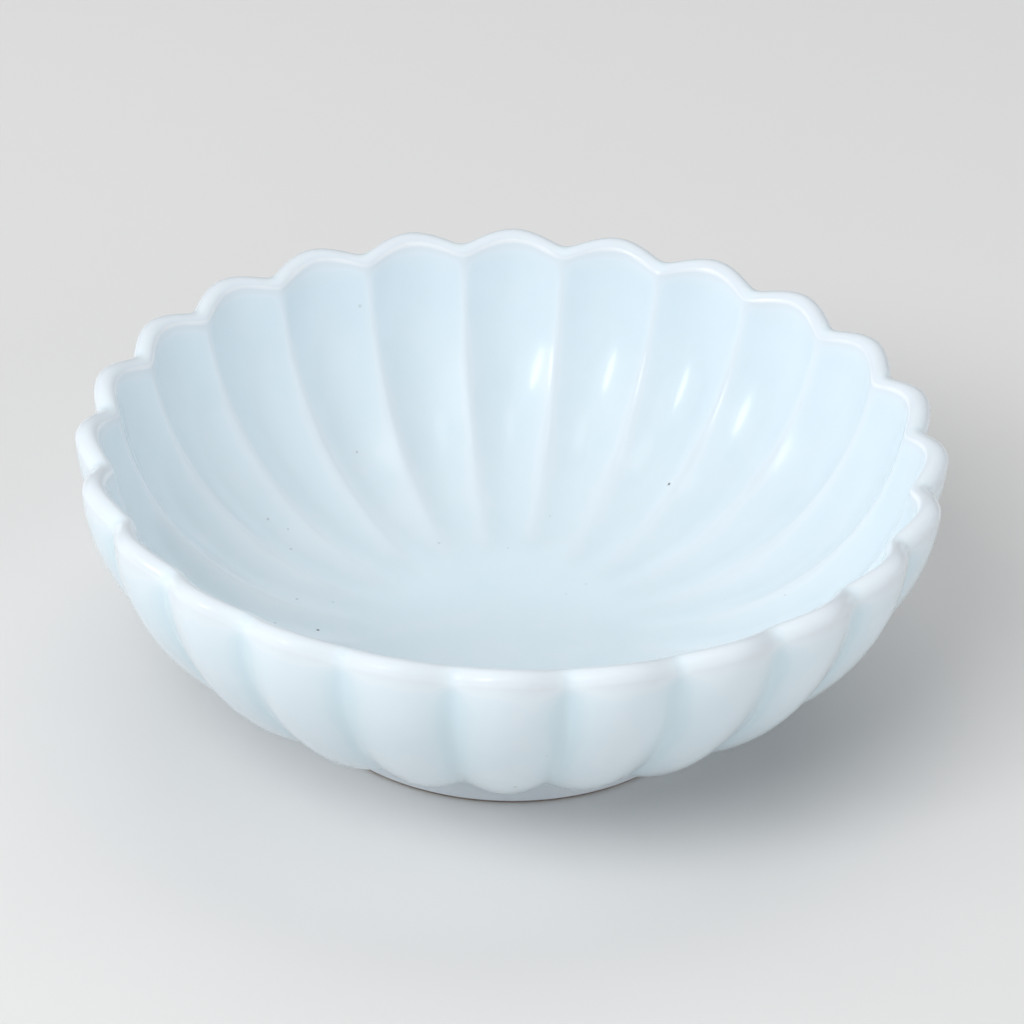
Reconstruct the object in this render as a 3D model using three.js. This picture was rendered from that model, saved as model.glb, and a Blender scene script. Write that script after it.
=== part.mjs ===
// Chrysanthemum bowl: a small porcelain bowl pressed into twenty-four petals,
// standing on a plain foot ring under a pale blue glaze.
// Millimetres, +Z up, origin on the resting plane under the middle of the foot.

import * as THREE from 'three';

// Rim and petals
const PETAL_COUNT = 24;
const RIM_RADIUS = 63;              // out to the petal tips
const BOWL_HEIGHT = 43.4;           // resting plane up to the petal tips
const LIP_THICKNESS = 3.5;          // the lip is a half-round bead this thick
const RIM_GROOVE_DEPTH = 2.1;       // the rim steps in by this between two petals
const RIM_GROOVE_DROP = 1.4;        // and dips by this
const PETAL_CURVE_POWER = 1.8;      // across a petal: 1 is a straight roof, 2 a parabola

// Outside of the wall, drawn as a curve from the foot ring up to the lip
const OUTER_FOOT_SLOPE = 4.5;       // degrees above level where it leaves the foot
const OUTER_FOOT_PULL = 15.8;       // how long the curve keeps to that slope
const OUTER_LIP_LEAN = 3.6;         // degrees off upright where it meets the lip
const OUTER_LIP_PULL = 16.5;        // how long the curve keeps to that lean
const FOOT_GROOVE_DEPTH = 1.0;      // depth of the outside grooves beside the foot
const OUTER_RIM_STEP_POWER = 3;     // how late the wall takes up the rim's own step

// Inside of the wall, drawn along a ridge from the floor up to the lip
const FLOOR_THICKNESS = 4.1;        // glazed floor over the hollow of the foot
const FLOOR_RADIUS = 18;            // the floor is level inside this
const INNER_FLOOR_PULL = 24.3;      // how long the curve stays near level
const INNER_LIP_LEAN = 10;          // degrees off upright where it meets the lip
const INNER_LIP_PULL = 16.5;        // how long the curve keeps to that lean
const FLUTE_DEPTH = 1.6;            // how deep the flutes are pressed below the lip
const FLUTE_WHOLE = 0.8;            // share of the wall, from the floor, where they are whole
const INNER_RIM_STEP_POWER = 8;     // how late the wall takes up the rim's own step

// Foot ring
const FOOT_RADIUS = 30;             // outside of the glazed ring
const FOOT_HEIGHT = 5.2;            // resting plane up to the seat under the body
const PETAL_END_RISE = 1.0;         // petal ends stop this far above the seat
const FOOT_RING_WIDTH = 4;          // bare ring, measured at the seat
const FOOT_INNER_DRAFT = 0.6;       // the hollow is wider by this at the base
const FOOT_CHAMFER = 0.3;           // both lower edges of the ring

// Glaze
const GLAZE_THICKNESS = 0.35;
const GLAZE_LINE_HEIGHT = 0.4;      // the ring is wiped bare below this

// Fineness of the faceted surfaces
const STEPS_PER_PETAL = 4;
const INNER_WALL_STEPS = 7;
const OUTER_WALL_STEPS = 7;

const columns = PETAL_COUNT * STEPS_PER_PETAL;
const lipRadius = LIP_THICKNESS / 2;
const floorHeight = FOOT_HEIGHT + FLOOR_THICKNESS;
const petalEndHeight = FOOT_HEIGHT + PETAL_END_RISE;
const bareFootRadius = FOOT_RADIUS - GLAZE_THICKNESS;
const footHollowRadius = bareFootRadius - FOOT_RING_WIDTH;

// Points of a section are (distance from the axis, height).
const point = (radius, height) => new THREE.Vector2(radius, height);

function direction(degrees) {
  const angle = THREE.MathUtils.degToRad(degrees);
  return point(Math.cos(angle), Math.sin(angle));
}

// The curve's left-hand side, seen as it runs outwards and upwards in a section,
// is the hollow of the bowl, so the right-hand side is away from it.
function awayFromHollow(curve, u) {
  const along = curve.getTangent(u);
  return point(along.y, -along.x);
}

// Middle of the lip bead, at a petal tip and in the notch between two petals
const petalLipCentre = point(RIM_RADIUS - lipRadius, BOWL_HEIGHT - lipRadius);
const rimStep = point(RIM_GROOVE_DEPTH, RIM_GROOVE_DROP);
const grooveLipCentre = petalLipCentre.clone().sub(rimStep);

// Round the bead in degrees: 0 faces straight out, and the facets meet at its top.
const lipTopAngle = 90;
const outerLipAngle = -OUTER_LIP_LEAN;
const innerLipAngle = 180 - INNER_LIP_LEAN;
const lipAngles = [
  innerLipAngle,
  (innerLipAngle + lipTopAngle) / 2,
  lipTopAngle,
  (lipTopAngle + outerLipAngle) / 2,
  outerLipAngle,
];
const onLip = (centre, degrees) => direction(degrees).multiplyScalar(lipRadius).add(centre);

// A wall curve leaves its start at one slope and reaches the lip at a lean.
function wallCurve(start, slope, startPull, lipPoint, lean, lipPull) {
  const startHandle = direction(slope).multiplyScalar(startPull).add(start);
  const lipHandle = lipPoint.clone().sub(direction(90 - lean).multiplyScalar(lipPull));
  return new THREE.CubicBezierCurve(start, startHandle, lipHandle, lipPoint);
}

const outerPetalCurve = wallCurve(
  point(FOOT_RADIUS, petalEndHeight), OUTER_FOOT_SLOPE, OUTER_FOOT_PULL,
  onLip(petalLipCentre, outerLipAngle), OUTER_LIP_LEAN, OUTER_LIP_PULL);

const innerRidgeCurve = wallCurve(
  point(FLOOR_RADIUS, floorHeight), 0, INNER_FLOOR_PULL,
  onLip(grooveLipCentre, innerLipAngle), INNER_LIP_LEAN, INNER_LIP_PULL);

// How far the wall lies further out at a petal than at a groove. Down the wall it
// is a plain depth square to the surface, and it turns into the rim's own step.
function petalBulge(curve, u, depth, rimStepPower) {
  const rimShare = u ** rimStepPower;
  return awayFromHollow(curve, u).multiplyScalar(depth * (1 - rimShare))
    .add(rimStep.clone().multiplyScalar(rimShare));
}

function outerWall(u, inGroove) {
  const onPetal = outerPetalCurve.getPoint(u);
  const depth = THREE.MathUtils.lerp(FOOT_GROOVE_DEPTH, RIM_GROOVE_DEPTH, u);
  const bulge = petalBulge(outerPetalCurve, u, depth, OUTER_RIM_STEP_POWER);
  return inGroove ? onPetal.sub(bulge) : onPetal;
}

// Inside, the ridges fade out towards the floor.
function innerWall(u, inGroove) {
  const onRidge = innerRidgeCurve.getPoint(u);
  const fadedIn = Math.sin(THREE.MathUtils.smoothstep(u, 0, FLUTE_WHOLE) * Math.PI / 2);
  const bulge = petalBulge(innerRidgeCurve, u, FLUTE_DEPTH * fadedIn, INNER_RIM_STEP_POWER);
  return inGroove ? onRidge : onRidge.add(bulge);
}

// Where the outside grooves meet the upright side of the ring: they end a groove's
// depth higher than the petals do, and no further in than the ring.
function wallEnd(inGroove) {
  return point(FOOT_RADIUS, outerWall(0, inGroove).y);
}

// Glazed surface in one section: middle of the floor, up the inside, over the lip,
// down the outside and down the foot ring to the glaze line.
function glazedSection(inGroove) {
  const section = [point(0, floorHeight)];
  for (let i = 0; i < INNER_WALL_STEPS; i += 1) {
    section.push(innerWall(i / INNER_WALL_STEPS, inGroove));
  }
  const lipCentre = inGroove ? grooveLipCentre : petalLipCentre;
  lipAngles.forEach((degrees) => section.push(onLip(lipCentre, degrees)));
  for (let i = OUTER_WALL_STEPS - 1; i > 0; i -= 1) {
    section.push(outerWall(i / OUTER_WALL_STEPS, inGroove));
  }
  section.push(wallEnd(inGroove));
  section.push(point(FOOT_RADIUS, FOOT_HEIGHT));
  section.push(point(FOOT_RADIUS, GLAZE_LINE_HEIGHT));
  return section;
}

// The same section one glaze thickness deeper, with its corners mitred. It faces
// left of its run, so the clay lies on the right.
function claySection(glazed) {
  const facing = (from, to) => to.clone().sub(from).normalize().rotateAround(point(0, 0), Math.PI / 2);
  return glazed.map((here, i) => {
    const before = i > 0 ? facing(glazed[i - 1], here) : point(0, 1);
    const after = i < glazed.length - 1 ? facing(here, glazed[i + 1]) : before;
    const middle = before.clone().add(after).normalize();
    return here.clone().addScaledVector(middle, -GLAZE_THICKNESS / middle.dot(before));
  });
}

const glazedPetal = glazedSection(false);
const glazedGroove = glazedSection(true);
const clayPetal = claySection(glazedPetal);
const clayGroove = claySection(glazedGroove);

// Share of the groove section at a column: 0 on the middle line of a petal, 1 in
// the groove between two petals.
function grooveShare(column) {
  const acrossPetal = ((column % STEPS_PER_PETAL) / STEPS_PER_PETAL) * 2;
  return Math.min(acrossPetal, 2 - acrossPetal) ** PETAL_CURVE_POWER;
}

// A row is a point on the axis, or one point for each column around it.
function row(onPetal, inGroove = onPetal) {
  if (onPetal.x === 0) return [new THREE.Vector3(0, 0, onPetal.y)];
  return Array.from({ length: columns }, (_, column) => {
    const here = onPetal.clone().lerp(inGroove, grooveShare(column));
    const angle = (column / columns) * 2 * Math.PI;
    return new THREE.Vector3(here.x * Math.cos(angle), here.x * Math.sin(angle), here.y);
  });
}

const rowsOf = (petalSection, grooveSection) => petalSection.map((p, i) => row(p, grooveSection[i]));

// Joins rows into one closed surface. Rows that run outwards face up, and rows
// that run down face away from the axis. Each four-sided cell is split along its
// shorter diagonal, so that two skins on the same rows share the same facets.
function surfaceFromRows(rows) {
  const corners = rows.flat();
  const firstCorner = rows.map((_, r) => rows.slice(0, r).flat().length);
  const cornerAt = (r, column) => firstCorner[r] + (column % rows[r].length);
  const span = (a, b) => corners[a].distanceTo(corners[b]);
  const facets = [];
  for (let r = 0; r + 1 < rows.length; r += 1) {
    for (let column = 0; column < columns; column += 1) {
      const [a, b] = [cornerAt(r, column), cornerAt(r, column + 1)];
      const [c, d] = [cornerAt(r + 1, column), cornerAt(r + 1, column + 1)];
      if (a === b) {
        facets.push(a, c, d);
      } else if (c === d) {
        facets.push(a, c, b);
      } else if (span(a, d) < span(b, c)) {
        facets.push(a, c, d, a, d, b);
      } else {
        facets.push(a, c, b, b, c, d);
      }
    }
  }
  const geometry = new THREE.BufferGeometry().setFromPoints(corners);
  geometry.setIndex(facets);
  geometry.computeVertexNormals();
  return geometry;
}

function piece(name, geometry, look) {
  const mesh = new THREE.Mesh(geometry, new THREE.MeshStandardMaterial(look));
  mesh.name = name;
  return mesh;
}

// Body: the pressed wall and floor in bare clay, flat underneath where it sits on
// the ring and where it roofs the foot's hollow
function bowlBody() {
  const rows = rowsOf(clayPetal, clayGroove).slice(0, -1);
  rows.push(row(point(0, FOOT_HEIGHT)));
  return piece('bowl_body', surfaceFromRows(rows), { color: 0xe8e4dc, roughness: 0.6, metalness: 0 });
}

// Foot ring: a plain turned ring luted to the flat seat, chamfered at the base
function footRing() {
  const hollowAt = (height) => footHollowRadius + FOOT_INNER_DRAFT * (1 - height / FOOT_HEIGHT);
  const outline = [
    point(footHollowRadius, FOOT_HEIGHT),
    point(bareFootRadius, FOOT_HEIGHT),
    point(bareFootRadius, GLAZE_LINE_HEIGHT),
    point(bareFootRadius, FOOT_CHAMFER),
    point(bareFootRadius - FOOT_CHAMFER, 0),
    point(hollowAt(0) + FOOT_CHAMFER, 0),
    point(hollowAt(FOOT_CHAMFER), FOOT_CHAMFER),
    point(hollowAt(GLAZE_LINE_HEIGHT), GLAZE_LINE_HEIGHT),
    point(footHollowRadius, FOOT_HEIGHT),
  ];
  const rows = outline.map((p) => row(p));
  return piece('foot_ring', surfaceFromRows(rows), { color: 0x94867c, roughness: 0.7, metalness: 0 });
}

// Glaze coat: one unbroken skin of glass over the inside, the lip, the outside and
// the side of the ring down to the glaze line
function glazeCoat() {
  const glazedRows = rowsOf(glazedPetal, glazedGroove);
  const clayRows = rowsOf(clayPetal, clayGroove).reverse();
  return piece('glaze_coat', surfaceFromRows([...glazedRows, ...clayRows]),
    { color: 0xd9e9f0, roughness: 0.08, metalness: 0 });
}

// Glaze in the hollow of the foot, cut off from the coat by the bare base
function footWellGlaze() {
  const hollowAtLine = footHollowRadius
    + FOOT_INNER_DRAFT * (1 - GLAZE_LINE_HEIGHT / FOOT_HEIGHT);
  const outline = [
    point(0, FOOT_HEIGHT),
    point(footHollowRadius, FOOT_HEIGHT),
    point(hollowAtLine, GLAZE_LINE_HEIGHT),
    point(hollowAtLine - GLAZE_THICKNESS, GLAZE_LINE_HEIGHT),
    point(footHollowRadius - GLAZE_THICKNESS, FOOT_HEIGHT - GLAZE_THICKNESS),
    point(0, FOOT_HEIGHT - GLAZE_THICKNESS),
  ];
  const rows = outline.map((p) => row(p));
  return piece('foot_well_glaze', surfaceFromRows(rows), { color: 0xd3e4ec, roughness: 0.1, metalness: 0 });
}

const bowl = new THREE.Group();
bowl.add(bowlBody(), footRing(), glazeCoat(), footWellGlaze());

export default bowl;
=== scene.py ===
# A chrysanthemum bowl: porcelain pressed into twenty-four petals on a turned foot ring,
# under a pale blue celadon glaze. Metres, +Z up, origin under the middle of the foot.
from collections import namedtuple
from math import atan2, cos, exp, hypot, pi, radians, sin, sqrt

import bmesh
import bpy
from mathutils import Matrix, Vector
from mathutils.bvhtree import BVHTree


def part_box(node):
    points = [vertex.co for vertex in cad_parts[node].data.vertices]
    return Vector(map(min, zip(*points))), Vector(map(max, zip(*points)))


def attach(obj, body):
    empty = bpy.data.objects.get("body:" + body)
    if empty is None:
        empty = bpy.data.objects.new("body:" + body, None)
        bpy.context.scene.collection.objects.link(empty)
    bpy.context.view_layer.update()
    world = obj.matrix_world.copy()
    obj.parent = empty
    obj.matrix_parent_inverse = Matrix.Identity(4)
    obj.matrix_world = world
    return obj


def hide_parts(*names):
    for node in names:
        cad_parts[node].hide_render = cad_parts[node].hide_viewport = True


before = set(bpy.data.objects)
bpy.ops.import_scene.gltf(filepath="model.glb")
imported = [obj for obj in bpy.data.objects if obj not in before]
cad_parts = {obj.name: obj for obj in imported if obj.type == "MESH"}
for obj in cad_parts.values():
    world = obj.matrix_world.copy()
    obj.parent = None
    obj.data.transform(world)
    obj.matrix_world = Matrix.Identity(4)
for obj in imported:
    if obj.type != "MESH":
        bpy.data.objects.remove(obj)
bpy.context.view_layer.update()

MM = 0.001
MERGE_DISTANCE = 0.001 * MM

# Glaze coat
# Celadon glaze: a skin of pale blue glass, fired over the inside, the lip, the outside
# and the side of the foot ring. It runs thin and white on the lip and on ridges, and
# pools bluer in the grooves. Its colour also holds painted light: a painted highlight
# line along the lip's inner edge, painted shade widening the pools beside the outside
# grooves, and a foot ring side painted paler, as if lit from the table.
PETALS = 24
PETAL_CURVE = 1.8                     # across a petal: 1 is a straight roof, 2 a parabola
LIP_THICKNESS = 3.5 * MM
RIM_GROOVE = Vector((2.1, 1.4)) * MM  # inward step and dip of the rim between petals
FOOT_GROOVE_DEPTH = 1.0 * MM
FLUTE_DEPTH = 1.6 * MM                # how deep the flutes are pressed inside, below the lip
FLUTE_WHOLE = 0.8                     # share of the wall, from the floor, where they are whole
OUTER_RIM_STEP_POWER = 3              # how late the wall takes up the rim's step, outside
INNER_RIM_STEP_POWER = 8              # and inside
FLOOR_THICKNESS = 4.1 * MM
FLOOR_RADIUS = 18 * MM
GLAZE_THICKNESS = 0.35 * MM
PETAL_END_RISE = 1.0 * MM             # petal ends stop this far above the ring's seat
FOOT_FILLET = 0.9 * MM                # glaze pooled under the petal ends
WALL_CREASE = 0.055                   # rounding between two petals outside, in petal widths
RIDGE_CREASE = 0.03                   # and inside
FLOOR_CREASE = 0.16                   # where the flutes fade into the floor
LIP_CREASE = 0.1                      # over the lip, where the glaze fills the notch
GROOVE_POOL_AND_SHADE_SPREAD = 0.09                  # how far from an outside groove its glaze pools deeper, widened as painted shade
RIDGE_SPREAD = 0.02                   # how far from a ridge inside its glaze is thinner
FLOOR_SPREAD = 0.25                   # and where the flutes fade into the floor
NOTCH_SPREAD = 0.05                   # and over the lip, where it pools in the notch
WALL_LENGTH = 46 * MM                 # along the wall from the floor to the lip
WALL_STEPS = 38
WALL_CROWDING = 0.5                   # the steps crowd towards the lip by this share
BEAD_STEPS = 16                       # round the lip, from the inside to the outside
NOTCH_STEPS = 8                       # of these, until the notch is fully pooled
FILLET_START = 0.02                   # share of the outer wall where the fillet leaves it
LIP_REACH_INSIDE = 0.8 * MM           # how far down the wall the lip's thin glaze goes
LIP_REACH_OUTSIDE = 1.4 * MM
NOTCH_REACH = 2.5 * MM                # how far down the wall the notch stays filled

coat_low, coat_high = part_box("glaze_coat")
ring_low, ring_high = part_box("foot_ring")
rim_radius = coat_high.x
bowl_height = coat_high.z
glaze_line = coat_low.z
seat_height = ring_high.z
foot_radius = ring_high.x + GLAZE_THICKNESS
lip_radius = LIP_THICKNESS / 2

OUTER_WALL_LEAN = 3.6                 # degrees off upright under the lip, outside
INNER_WALL_LEAN = 10                  # and inside
OUTER_SLOPE = 4.5                     # degrees off level where the outer wall leaves the foot
OUTER_PULLS = (15.8 * MM, 16.5 * MM)  # how far the wall keeps its heading at foot and lip
INNER_PULLS = (24.3 * MM, 16.5 * MM)  # and inside, at the floor and the lip
RING_ROWS = (3.6 * MM, 2.2 * MM)      # heights of two rows down the side of the ring


def heading(angle):
    """Unit direction in a section, in degrees above straight out."""
    return Vector((cos(radians(angle)), sin(radians(angle))))


def wall_curve(start, slope, end, lean, pulls):
    """A smooth wall from start to the lip; gives the point and the heading at u."""
    start_handle = start + pulls[0] * heading(slope)
    end_handle = end - pulls[1] * heading(90 - lean)

    def at(u):
        a = start.lerp(start_handle, u)
        b = start_handle.lerp(end_handle, u)
        c = end_handle.lerp(end, u)
        d = a.lerp(b, u)
        e = b.lerp(c, u)
        return d.lerp(e, u), (e - d).normalized()

    return at


petal_lip = Vector((rim_radius - lip_radius, bowl_height - lip_radius))
groove_lip = petal_lip - RIM_GROOVE
outer_petal = wall_curve(
    Vector((foot_radius, seat_height + PETAL_END_RISE)), OUTER_SLOPE,
    petal_lip + lip_radius * heading(-OUTER_WALL_LEAN), OUTER_WALL_LEAN, OUTER_PULLS)
inner_ridge = wall_curve(
    Vector((FLOOR_RADIUS, seat_height + FLOOR_THICKNESS)), 0,
    groove_lip + lip_radius * heading(180 - INNER_WALL_LEAN), INNER_WALL_LEAN, INNER_PULLS)


def bulge(along, u, depth, rim_step_power):
    """How far the wall stands out at a petal: square to the wall, then the rim's step."""
    away = Vector((along.y, -along.x))
    rim_share = u ** rim_step_power
    return away * depth * (1 - rim_share) + RIM_GROOVE * rim_share


def outer_wall(u):
    """Petal point and groove point on the outside, from the foot (0) to the lip (1)."""
    on_petal, along = outer_petal(u)
    depth = FOOT_GROOVE_DEPTH + (RIM_GROOVE.x - FOOT_GROOVE_DEPTH) * u
    return on_petal, on_petal - bulge(along, u, depth, OUTER_RIM_STEP_POWER)


def flute(u):
    """How deep a flute is pressed: fading in past the floor, whole higher up."""
    risen = min(1, u / FLUTE_WHOLE)
    return sin(pi / 2 * risen * risen * (3 - 2 * risen))


def inner_wall(u):
    """The same on the inside, where the flutes fade out towards the floor."""
    on_ridge, along = inner_ridge(u)
    return on_ridge + bulge(along, u, FLUTE_DEPTH * flute(u), INNER_RIM_STEP_POWER), on_ridge


def foot_fillet(share):
    """Rounds the corner between the petal ends and the upright side of the ring."""
    points = []
    for start in outer_wall(FILLET_START):
        corner = Vector((foot_radius, start.y))
        below = corner - Vector((0, FOOT_FILLET))
        points.append(start.lerp(corner, share).lerp(corner.lerp(below, share), share))
    return points


def steps(count):
    """Shares from 0 to just below 1, closer together towards 1, where the lip is."""
    shares = [i / count for i in range(count)]
    return [share + WALL_CROWDING * sin(pi * share) / pi for share in shares]


def to_lip(on_wall, at_lip, u, reach):
    """A value on the wall that turns into the lip's over the last few millimetres."""
    near = exp((u - 1) * WALL_LENGTH / reach)
    return on_wall + (at_lip - on_wall) * near


# Each station has a point on the petal and one in the groove, the glaze's depth at both,
# from 0, thin and white, to 1 and over, pooled, and how softly shape and glaze turn at
# the crease. The depth carries painted light as well: a highlight line at the lip's
# inner edge, shade beside the outside grooves, and a paler foot ring.
Station = namedtuple("Station", "petal groove petal_glaze groove_glaze rounding spread")
THIN = 0.22                           # on the lip
GLINT_EDGE = 0                         # the lip's inner edge: thinnest glaze, painted white as a highlight line
FLOOR = 0.7                           # on the floor and along the flutes
RIDGE = 0.35                          # on the ridges between the flutes
PETAL = 0.65                          # along the petals outside
CREASE = 1.2                          # in the grooves between them
NOTCH = 0.6                           # in the lip's notches
RING_PAINTED_LIT = 0.15                           # on the side of the foot ring, set thin and pale to paint light thrown up from the table
EDGE_TURN = 152                       # degrees up from straight out, round the lip, where the painted highlight line runs
EDGE_SPREAD = 12                      # degrees over which the lip's thinnest glaze and painted highlight line fade


def lip_glaze(turn):
    """The glaze's depth round the lip, where turn is degrees up from straight out;
    at the inner edge it dips to the thinnest glaze, which is a painted highlight line.
    """
    return THIN + (GLINT_EDGE - THIN) * exp(-((turn - EDGE_TURN) / EDGE_SPREAD) ** 2)


lip_start = 180 - INNER_WALL_LEAN
floor_middle = Vector((0, seat_height + FLOOR_THICKNESS))
stations = [Station(floor_middle, floor_middle, FLOOR, FLOOR, FLOOR_CREASE, FLOOR_SPREAD)]
for u in steps(WALL_STEPS):
    on_ridge = FLOOR + (RIDGE - FLOOR) * sqrt(flute(u))
    faded = (1 - u) ** 2
    rounding = RIDGE_CREASE + (FLOOR_CREASE - RIDGE_CREASE) * faded
    stations.append(Station(
        *inner_wall(u), to_lip(FLOOR, lip_glaze(lip_start), u, LIP_REACH_INSIDE),
        to_lip(on_ridge, lip_glaze(lip_start), u, LIP_REACH_INSIDE),
        to_lip(rounding, LIP_CREASE, u, NOTCH_REACH),
        RIDGE_SPREAD + (FLOOR_SPREAD - RIDGE_SPREAD) * faded))
for i in range(BEAD_STEPS + 1):
    turn = lip_start - (lip_start + OUTER_WALL_LEAN) * i / BEAD_STEPS
    on_bead = lip_radius * heading(turn)
    in_notch = lip_glaze(turn) + (NOTCH - THIN) * sin(pi / 2 * min(1, i / NOTCH_STEPS)) ** 2
    stations.append(Station(
        petal_lip + on_bead, groove_lip + on_bead, lip_glaze(turn), in_notch, LIP_CREASE, NOTCH_SPREAD))
for u in steps(WALL_STEPS)[:0:-1]:
    stations.append(Station(
        *outer_wall(u), to_lip(PETAL, THIN, u, LIP_REACH_OUTSIDE),
        to_lip(CREASE, NOTCH, u, LIP_REACH_OUTSIDE), to_lip(WALL_CREASE, LIP_CREASE, u, NOTCH_REACH),
        to_lip(GROOVE_POOL_AND_SHADE_SPREAD, NOTCH_SPREAD, u, NOTCH_REACH)))
for share in (0, 0.2, 0.4, 0.6, 0.8, 1):
    stations.append(Station(*foot_fillet(share), PETAL, CREASE, WALL_CREASE, GROOVE_POOL_AND_SHADE_SPREAD))
for height in (*RING_ROWS, glaze_line + GLAZE_THICKNESS):
    on_ring = Vector((foot_radius, height))
    stations.append(Station(on_ring, on_ring, RING_PAINTED_LIT, RING_PAINTED_LIT, WALL_CREASE, GROOVE_POOL_AND_SHADE_SPREAD))


def deeper(line, depth):
    """A section line moved into the clay by depth, square to the surface."""
    moved = []
    for i, here in enumerate(line):
        before = line[max(i - 1, 0)]
        after = line[min(i + 1, len(line) - 1)]
        along = (after - before).normalized()
        moved.append(here + depth * Vector((along.y, -along.x)))
    return moved


def glaze_end(line_height, clay_radius, side):
    """The rolled lower end of a glaze skin, on the outer (1) or inner (-1) side."""
    ends = []
    for angle in (-30, -60, -90):
        roll = GLAZE_THICKNESS * heading(angle)
        ends.append(Vector((clay_radius + side * roll.x, line_height + GLAZE_THICKNESS + roll.y)))
    return ends


petal_line = [station.petal for station in stations]
groove_line = [station.groove for station in stations]
petal_clay = deeper(petal_line, GLAZE_THICKNESS)
groove_clay = deeper(groove_line, GLAZE_THICKNESS)
for clay in (petal_clay, groove_clay):
    clay[0] = Vector((0, seat_height + FLOOR_THICKNESS - GLAZE_THICKNESS))
coat_section = list(stations)
for end in glaze_end(glaze_line, foot_radius - GLAZE_THICKNESS, 1):
    coat_section.append(Station(end, end, RING_PAINTED_LIT, RING_PAINTED_LIT, WALL_CREASE, GROOVE_POOL_AND_SHADE_SPREAD))
for station, on_petal, on_groove in list(zip(stations, petal_clay, groove_clay))[::-1]:
    coat_section.append(Station(on_petal, on_groove, PETAL, PETAL, station.rounding, GROOVE_POOL_AND_SHADE_SPREAD))

COLUMNS_PER_PETAL = 20
CROWDING = 0.6                        # columns crowd towards the grooves by this share


def from_groove(across, rounding):
    """How far a place from -0.5 to 0.5 across a petal is from the rounded groove."""
    return hypot(0.5 - abs(across), rounding) - rounding


def groove_share(across, rounding):
    """0 on a petal's middle line and 1 in the groove."""
    return (1 - from_groove(across, rounding) / from_groove(0, rounding)) ** PETAL_CURVE


def spun_petals(name, section):
    """Spins a section round the bowl's axis and draws it in at each groove."""
    bm = bmesh.new()
    to_groove = bm.verts.layers.float_vector.new("to_groove")
    crease = bm.verts.layers.float_vector.new("crease")
    glaze_depth_and_light = bm.verts.layers.float.new("glaze_depth_and_light")
    line = []
    for station in section:
        vert = bm.verts.new((station.petal.x, 0, station.petal.y))
        inward = station.groove - station.petal
        vert[to_groove] = (inward.x, inward.y, station.groove_glaze - station.petal_glaze)
        vert[crease] = (station.rounding, station.spread, 0)
        vert[glaze_depth_and_light] = station.petal_glaze
        line.append(vert)
    edges = [bm.edges.new(pair) for pair in zip(line, line[1:])]
    bmesh.ops.spin(
        bm, geom=line + edges, cent=(0, 0, 0), axis=(0, 0, 1), angle=2 * pi,
        steps=PETALS * COLUMNS_PER_PETAL, use_merge=True)
    for vert in bm.verts:
        radius = hypot(vert.co.x, vert.co.y)
        petal = atan2(vert.co.y, vert.co.x) / (2 * pi) * PETALS
        across = petal - round(petal)
        crowded = across + CROWDING * sin(2 * pi * across) / (2 * pi)
        rounding, spread = vert[crease].xy
        share = groove_share(crowded, rounding)
        vert[glaze_depth_and_light] += vert[to_groove].z * exp(-from_groove(crowded, rounding) / spread)
        radius += vert[to_groove].x * share
        angle = (round(petal) + crowded) / PETALS * 2 * pi
        vert.co = (radius * cos(angle), radius * sin(angle), vert.co.z + vert[to_groove].y * share)
    for layer in ("to_groove", "crease"):
        bm.verts.layers.float_vector.remove(bm.verts.layers.float_vector[layer])
    bmesh.ops.remove_doubles(bm, verts=bm.verts, dist=MERGE_DISTANCE)
    bmesh.ops.recalc_face_normals(bm, faces=bm.faces)
    return finished(name, bm)


def finished(name, bm):
    """Turns a bmesh into a smooth object at the origin."""
    mesh = bpy.data.meshes.new(name)
    for face in bm.faces:
        face.smooth = True
    bm.to_mesh(mesh)
    bm.free()
    made = bpy.data.objects.new(name, mesh)
    bpy.context.scene.collection.objects.link(made)
    return made


def linear(colour):
    """An sRGB hex colour as linear RGBA."""
    channels = [int(colour[i:i + 2], 16) / 255 for i in (1, 3, 5)]
    return (*((c / 12.92 if c < 0.04045 else ((c + 0.055) / 1.055) ** 2.4) for c in channels), 1)


def new_material(name):
    """A node material with no nodes in it yet."""
    material = bpy.data.materials.new(name)
    material.use_nodes = True
    material.node_tree.nodes.clear()
    return material


def add_node(tree, kind, inputs=None, **settings):
    """Adds a node, sets its properties, and sets or links its inputs."""
    node = tree.nodes.new(kind)
    for name, value in settings.items():
        setattr(node, name, value)
    for name, value in (inputs or {}).items():
        if isinstance(value, bpy.types.NodeSocket):
            tree.links.new(value, node.inputs[name])
        else:
            node.inputs[name].default_value = value
    return node


def set_ramp(ramp, *stops):
    """Gives a colour ramp its (place, hex colour) stops."""
    elements = ramp.color_ramp.elements
    while len(elements) < len(stops):
        elements.new(0.5)
    for element, (place, colour) in zip(elements, stops):
        element.position = place
        element.color = linear(colour)


# Near-white thinnest glaze; at the lip's inner edge it paints a highlight line.
THINNEST_AND_GLINT_GLAZE = "#e7ecf0"
THIN_GLAZE = "#dae2e9"
EVEN_GLAZE = "#dce7ee"
POOLED_GLAZE = "#cfe2eb"
IRON_SPECK = "#463c34"
CLOUD_SIZE = 8 * MM
CLOUD_DEPTH = 0.4                     # how much the clouds change the glaze's depth
WAVE_SIZE = 5 * MM
WAVE_HEIGHT = 0.03 * MM
SPECK_CORE = 0.25                     # share of a speck's size that is fully dark
SPECK_EDGE = 0.65                     # and where it has faded away
GLAZE_ROUGHNESS = 0.14
GLASS_IOR = 1.5
MIX_SHARE, MIX_UNDER, MIX_OVER = 0, 6, 7  # a colour mix node's input sockets
MIXED = 2                             # and its output


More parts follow.
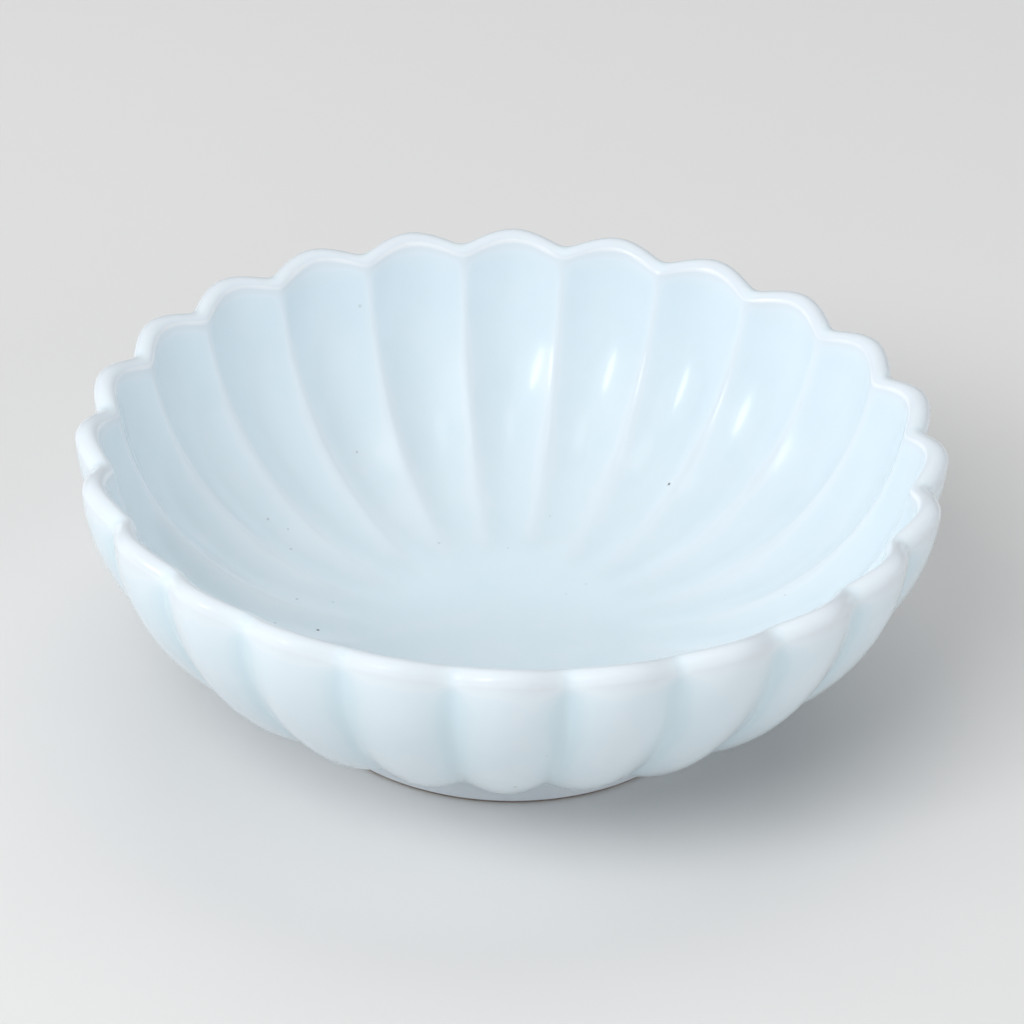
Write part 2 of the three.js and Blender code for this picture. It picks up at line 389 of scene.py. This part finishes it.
def celadon(name, specks=()):
    """Clear-fired celadon: near-white where thin, bluer where deep, with a wet gloss and
    a few burnt iron specks, each a (place, size, darkness). The depth it reads also
    carries painted light: a highlight line on the lip, shade by the outside grooves,
    and a paler foot ring."""
    material = new_material(name)
    tree = material.node_tree
    place = add_node(tree, "ShaderNodeTexCoord").outputs["Object"]
    depth = add_node(tree, "ShaderNodeAttribute", attribute_name="glaze_depth_and_light").outputs["Fac"]
    clouds = add_node(
        tree, "ShaderNodeTexNoise",
        {"Vector": place, "Scale": 1 / CLOUD_SIZE, "Detail": 4.0, "Roughness": 0.55}).outputs["Fac"]
    uneven = add_node(
        tree, "ShaderNodeMath", {0: clouds, 1: CLOUD_DEPTH, 2: -CLOUD_DEPTH / 2},
        operation="MULTIPLY_ADD").outputs[0]
    deep = add_node(tree, "ShaderNodeMath", {0: depth, 1: uneven}, operation="ADD").outputs[0]
    tint = add_node(tree, "ShaderNodeValToRGB", {"Fac": deep})
    set_ramp(tint, (0.0, THINNEST_AND_GLINT_GLAZE), (0.15, THIN_GLAZE), (0.5, EVEN_GLAZE), (1.0, POOLED_GLAZE))
    colour = tint.outputs["Color"]
    for middle, size, darkness in specks:
        away = add_node(
            tree, "ShaderNodeVectorMath", {0: place, 1: middle},
            operation="DISTANCE").outputs["Value"]
        spot = add_node(
            tree, "ShaderNodeMapRange",
            {"Value": away, "From Min": SPECK_CORE * size, "From Max": SPECK_EDGE * size,
             "To Min": darkness, "To Max": 0.0})
        blend = add_node(
            tree, "ShaderNodeMix",
            {MIX_SHARE: spot.outputs["Result"], MIX_UNDER: colour, MIX_OVER: linear(IRON_SPECK)},
            data_type="RGBA")
        colour = blend.outputs[MIXED]
    wave = add_node(
        tree, "ShaderNodeTexNoise",
        {"Vector": place, "Scale": 1 / WAVE_SIZE, "Detail": 1.0}).outputs["Fac"]
    bump = add_node(
        tree, "ShaderNodeBump",
        {"Height": wave, "Strength": 1.0, "Distance": WAVE_HEIGHT}).outputs["Normal"]
    shader = add_node(
        tree, "ShaderNodeBsdfPrincipled",
        {"Base Color": colour, "Roughness": GLAZE_ROUGHNESS, "IOR": GLASS_IOR, "Normal": bump})
    add_node(tree, "ShaderNodeOutputMaterial", {"Surface": shader.outputs["BSDF"]})
    return material


glaze_coat = spun_petals("glaze_coat_skin", coat_section)

# Camera
# A long lens from the front, 31 degrees above the rim, set a little out of level. The
# bowl's own turn is in the camera, so that the bowl keeps its petals on the axes.
PICTURE_WIDTH = 1024                  # pixels
FOCAL_LENGTH = 6160                   # pixels
RIM_MIDDLE = (512.6, 437.5)           # where the middle of the rim lands in the picture
SENSOR_WIDTH = 36                     # millimetres
CLIP_END = 10
elevation, turn, roll = radians(31.1), radians(0.77), radians(1.92)
DISTANCE = 0.887                      # from the middle of the rim
turned_scene = Matrix.Rotation(-turn, 3, "Z")
towards = turned_scene @ Vector((0, -cos(elevation), sin(elevation)))
upwards = turned_scene @ Vector((0, sin(elevation), cos(elevation)))
sideways = turned_scene @ Vector((1, 0, 0))
tilted_side = cos(roll) * sideways + sin(roll) * upwards
tilted_up = cos(roll) * upwards - sin(roll) * sideways
lens_place = Vector((0, 0, bowl_height)) + DISTANCE * towards
off_side = (PICTURE_WIDTH / 2 - RIM_MIDDLE[0]) / FOCAL_LENGTH
off_up = (PICTURE_WIDTH / 2 - RIM_MIDDLE[1]) / FOCAL_LENGTH
back = (towards - off_side * tilted_side + off_up * tilted_up).normalized()
right = (tilted_side - back * tilted_side.dot(back)).normalized()
camera = bpy.data.objects.new("camera", bpy.data.cameras.new("camera"))
camera.data.sensor_width = SENSOR_WIDTH
camera.data.lens = FOCAL_LENGTH / PICTURE_WIDTH * SENSOR_WIDTH
camera.data.clip_end = CLIP_END
facing = Matrix((right, back.cross(right), back)).transposed().to_4x4()
camera.matrix_world = Matrix.Translation(lens_place) @ facing
bpy.context.scene.collection.objects.link(camera)
bpy.context.scene.camera = camera

# Specks in the coat
# Iron specks burnt into the glaze, each as ((x, y), size, darkness): the pixel where the
# picture shows it, its width in millimetres, and how dark it is, up to 1.
SPECKS = (
    ((669, 484), 0.5, 0.85), ((318, 630), 0.5, 0.85), ((268, 519), 0.45, 0.27),
    ((288, 529), 0.4, 0.18), ((291, 549), 0.45, 0.27), ((297, 599), 0.5, 0.3),
    ((275, 623), 0.45, 0.3), ((333, 602), 0.4, 0.18), ((360, 306), 0.6, 0.15),
    ((357, 452), 0.45, 0.27), ((439, 543), 0.5, 0.18), ((508, 548), 0.4, 0.15),
    ((550, 516), 0.4, 0.12), ((586, 584), 0.45, 0.15), ((566, 594), 0.4, 0.12),
    ((785, 595), 0.4, 0.15), ((515, 787), 0.6, 0.5), ((547, 756), 0.35, 0.2))
mesh = glaze_coat.data
skin = BVHTree.FromPolygons(
    [vert.co for vert in mesh.vertices], [face.vertices for face in mesh.polygons])
specks = []
for (x, y), size, darkness in SPECKS:
    ray = facing @ Vector((x - PICTURE_WIDTH / 2, PICTURE_WIDTH / 2 - y, -FOCAL_LENGTH))
    specks.append((skin.ray_cast(lens_place, ray)[0], size * MM, darkness))
mesh.materials.append(celadon("celadon_glaze_fired", specks))
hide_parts("glaze_coat")
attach(glaze_coat, "root")

# Bowl body
# White porcelain clay pressed over a petalled mould, hidden inside the glaze; its flat
# underside sits on the ring.
body_section = []
for station, on_petal, on_groove in zip(stations, petal_clay, groove_clay):
    if on_petal.y > seat_height:
        body_section.append(Station(on_petal, on_groove, PETAL, PETAL, station.rounding, GROOVE_POOL_AND_SHADE_SPREAD))
for seat_radius in (foot_radius - GLAZE_THICKNESS, 0):
    seat = Vector((seat_radius, seat_height))
    body_section.append(Station(seat, seat, PETAL, PETAL, WALL_CREASE, GROOVE_POOL_AND_SHADE_SPREAD))

CLAY_MOTTLE = 2 * MM
CLAY_ROUGHNESS = 0.75
GRAIN_HEIGHT = 0.04 * MM


def bare_porcelain(name, clay, dark, grain):
    """Unglazed fired clay: dry and matt, with fine grains of sand in it."""
    material = new_material(name)
    tree = material.node_tree
    place = add_node(tree, "ShaderNodeTexCoord").outputs["Object"]
    mottle = add_node(
        tree, "ShaderNodeTexNoise",
        {"Vector": place, "Scale": 1 / CLAY_MOTTLE, "Detail": 4.0}).outputs["Fac"]
    colour = add_node(tree, "ShaderNodeValToRGB", {"Fac": mottle})
    set_ramp(colour, (0.3, dark), (0.7, clay))
    sand = add_node(
        tree, "ShaderNodeTexNoise",
        {"Vector": place, "Scale": 1 / grain, "Detail": 2.0}).outputs["Fac"]
    bump = add_node(
        tree, "ShaderNodeBump",
        {"Height": sand, "Strength": 1.0, "Distance": GRAIN_HEIGHT}).outputs["Normal"]
    shader = add_node(
        tree, "ShaderNodeBsdfPrincipled",
        {"Base Color": colour.outputs["Color"], "Roughness": CLAY_ROUGHNESS, "IOR": GLASS_IOR,
         "Normal": bump})
    add_node(tree, "ShaderNodeOutputMaterial", {"Surface": shader.outputs["BSDF"]})
    return material


bowl_body = spun_petals("bowl_body_clay", body_section)
white_clay = bare_porcelain("white_porcelain_clay", "#e8e4dc", "#ddd8ce", grain=0.4 * MM)
bowl_body.data.materials.append(white_clay)
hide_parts("bowl_body")
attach(bowl_body, "root")

# Foot ring
# A plain turned ring luted under the body. Its base is wiped free of glaze, so that the
# bowl doesn't stick in the kiln, and the bare clay has fired brown.
RING_WIDTH = 4 * MM
HOLLOW_DRAFT = 0.6 * MM
EDGE_ROUNDING = 0.3 * MM
TURNED_STEPS = 240                    # round a turned piece
clay_foot_radius = foot_radius - GLAZE_THICKNESS
hollow_radius = clay_foot_radius - RING_WIDTH


def hollow_at(height):
    """The hollow's radius, a little wider at the base than at the seat."""
    return hollow_radius + HOLLOW_DRAFT * (1 - height / seat_height)


def turned(name, outline):
    """Spins a closed outline of (radius, height) points into a ring or disc."""
    bm = bmesh.new()
    line = [bm.verts.new((p.x, 0, p.y)) for p in outline]
    edges = [bm.edges.new(pair) for pair in zip(line, line[1:])]
    if outline[0].x > 0:
        edges.append(bm.edges.new((line[-1], line[0])))
    bmesh.ops.spin(
        bm, geom=line + edges, cent=(0, 0, 0), axis=(0, 0, 1), angle=2 * pi,
        steps=TURNED_STEPS, use_merge=True)
    bmesh.ops.remove_doubles(bm, verts=bm.verts, dist=MERGE_DISTANCE)
    bmesh.ops.recalc_face_normals(bm, faces=bm.faces)
    return finished(name, bm)


ring_outline = [
    Vector((hollow_radius, seat_height)),
    Vector((clay_foot_radius, seat_height)),
    Vector((clay_foot_radius, glaze_line)),
]
for angle in (0, -22.5, -45, -67.5, -90):
    middle = Vector((clay_foot_radius - EDGE_ROUNDING, EDGE_ROUNDING))
    ring_outline.append(middle + EDGE_ROUNDING * heading(angle))
for angle in (-90, -112.5, -135, -157.5, -180):
    middle = Vector((hollow_at(EDGE_ROUNDING) + EDGE_ROUNDING, EDGE_ROUNDING))
    ring_outline.append(middle + EDGE_ROUNDING * heading(angle))
foot_ring = turned("foot_ring_clay", ring_outline)
brown_clay = bare_porcelain("bare_foot_clay", "#94867c", "#7a6a60", grain=0.3 * MM)
foot_ring.data.materials.append(brown_clay)
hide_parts("foot_ring")
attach(foot_ring, "root")

# Glaze in the foot's hollow
# The same celadon, poured into the hollow under the floor and cut off from the coat by
# the bare base; it pools round the corner.
CORNER_POOL = 1.2 * MM
WELL_ROW = 2.5 * MM                   # height of a row down the side of the hollow
well_top = seat_height - GLAZE_THICKNESS
corner = Vector((hollow_radius - GLAZE_THICKNESS, well_top))
well_outline = [Vector((share * corner.x, well_top)) for share in (0, 0.5, 0.85)]
for share in (0, 0.25, 0.5, 0.75, 1):
    before = corner - Vector((CORNER_POOL, 0))
    after = corner - Vector((0, CORNER_POOL))
    well_outline.append(before.lerp(corner, share).lerp(corner.lerp(after, share), share))
for height in (WELL_ROW, glaze_line + GLAZE_THICKNESS):
    well_outline.append(Vector((hollow_at(height) - GLAZE_THICKNESS, height)))
well_outline += glaze_end(glaze_line, hollow_at(glaze_line), -1)
well_outline.append(Vector((hollow_radius, seat_height)))
well_outline.append(Vector((0, seat_height)))
foot_well = turned("foot_well_glaze_skin", well_outline)
pooled = foot_well.data.attributes.new("glaze_depth_and_light", "FLOAT", "POINT")
for vert, depth in zip(foot_well.data.vertices, pooled.data):
    from_corner = hypot(hypot(vert.co.x, vert.co.y) - corner.x, vert.co.z - corner.y)
    depth.value = PETAL + (CREASE - PETAL) * exp(-from_corner / CORNER_POOL)
foot_well.data.materials.append(celadon("celadon_glaze_in_foot"))
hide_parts("foot_well_glaze")
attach(foot_well, "root")

# Table and light
# A plain pale sheet under a softbox at the front left, with weaker fills all round. Only
# the softbox and the lamp overhead show in the gloss.
TABLE_SIZE = 8
TABLE_COLOUR = "#dcdcdc"
bpy.ops.mesh.primitive_plane_add(size=TABLE_SIZE)
table = bpy.context.object
table.name = "table"
paper = new_material("pale_table")
sheen_free = add_node(
    paper.node_tree, "ShaderNodeBsdfPrincipled",
    {"Base Color": linear(TABLE_COLOUR), "Roughness": 0.9, "Specular IOR Level": 0.1})
add_node(paper.node_tree, "ShaderNodeOutputMaterial", {"Surface": sheen_free.outputs["BSDF"]})
table.data.materials.append(paper)

LAMP_DISTANCE = 1.3
ROOM_LIGHT = 0.17


def softbox(name, azimuth, height, size, power, mirrored, tall=1):
    """A softbox facing the bowl, azimuth degrees round from +X, size metres wide, tall
    times as high, and power in watts; the gloss shows it only if it is mirrored."""
    lamp = bpy.data.lights.new(name, "AREA")
    lamp.shape = "ELLIPSE"
    lamp.size = size
    lamp.size_y = size * tall
    lamp.energy = power
    holder = bpy.data.objects.new(name, lamp)
    way = heading(azimuth) * cos(radians(height))
    way = Vector((way.x, way.y, sin(radians(height))))
    holder.location = way * LAMP_DISTANCE
    holder.rotation_euler = way.to_track_quat("Z", "Y").to_euler()
    holder.visible_glossy = mirrored
    bpy.context.scene.collection.objects.link(holder)


softbox("key_softbox_middle", 219, 33, 0.22, 1.35, True, tall=1.9)
softbox("key_softbox", 219, 33, 0.62, 0.6, True)
softbox("key_spread", 238, 46, 0.8, 8.5, False)
softbox("key_side", 200, 30, 0.6, 2.8, False)
softbox("overhead", 263, 73, 0.5, 0.6, True)
softbox("left_fill", 160, 12, 0.5, 3.7, False)
softbox("low_front_fill", 265, 15, 0.5, 0.8, False)
softbox("front_fill", 300, 25, 0.6, 1.2, False)
softbox("right_fill", 328, 20, 0.7, 2.0, False)
softbox("far_right_fill", 0, 15, 0.6, 2.6, False)
softbox("back_fill", 80, 60, 1.3, 5.6, False)
world = bpy.data.worlds.new("room")
world.use_nodes = True
background = world.node_tree.nodes["Background"]
background.inputs["Color"].default_value = (1, 1, 1, 1)
background.inputs["Strength"].default_value = ROOM_LIGHT
bpy.context.scene.world = world
bpy.context.scene.view_settings.view_transform = "Standard"
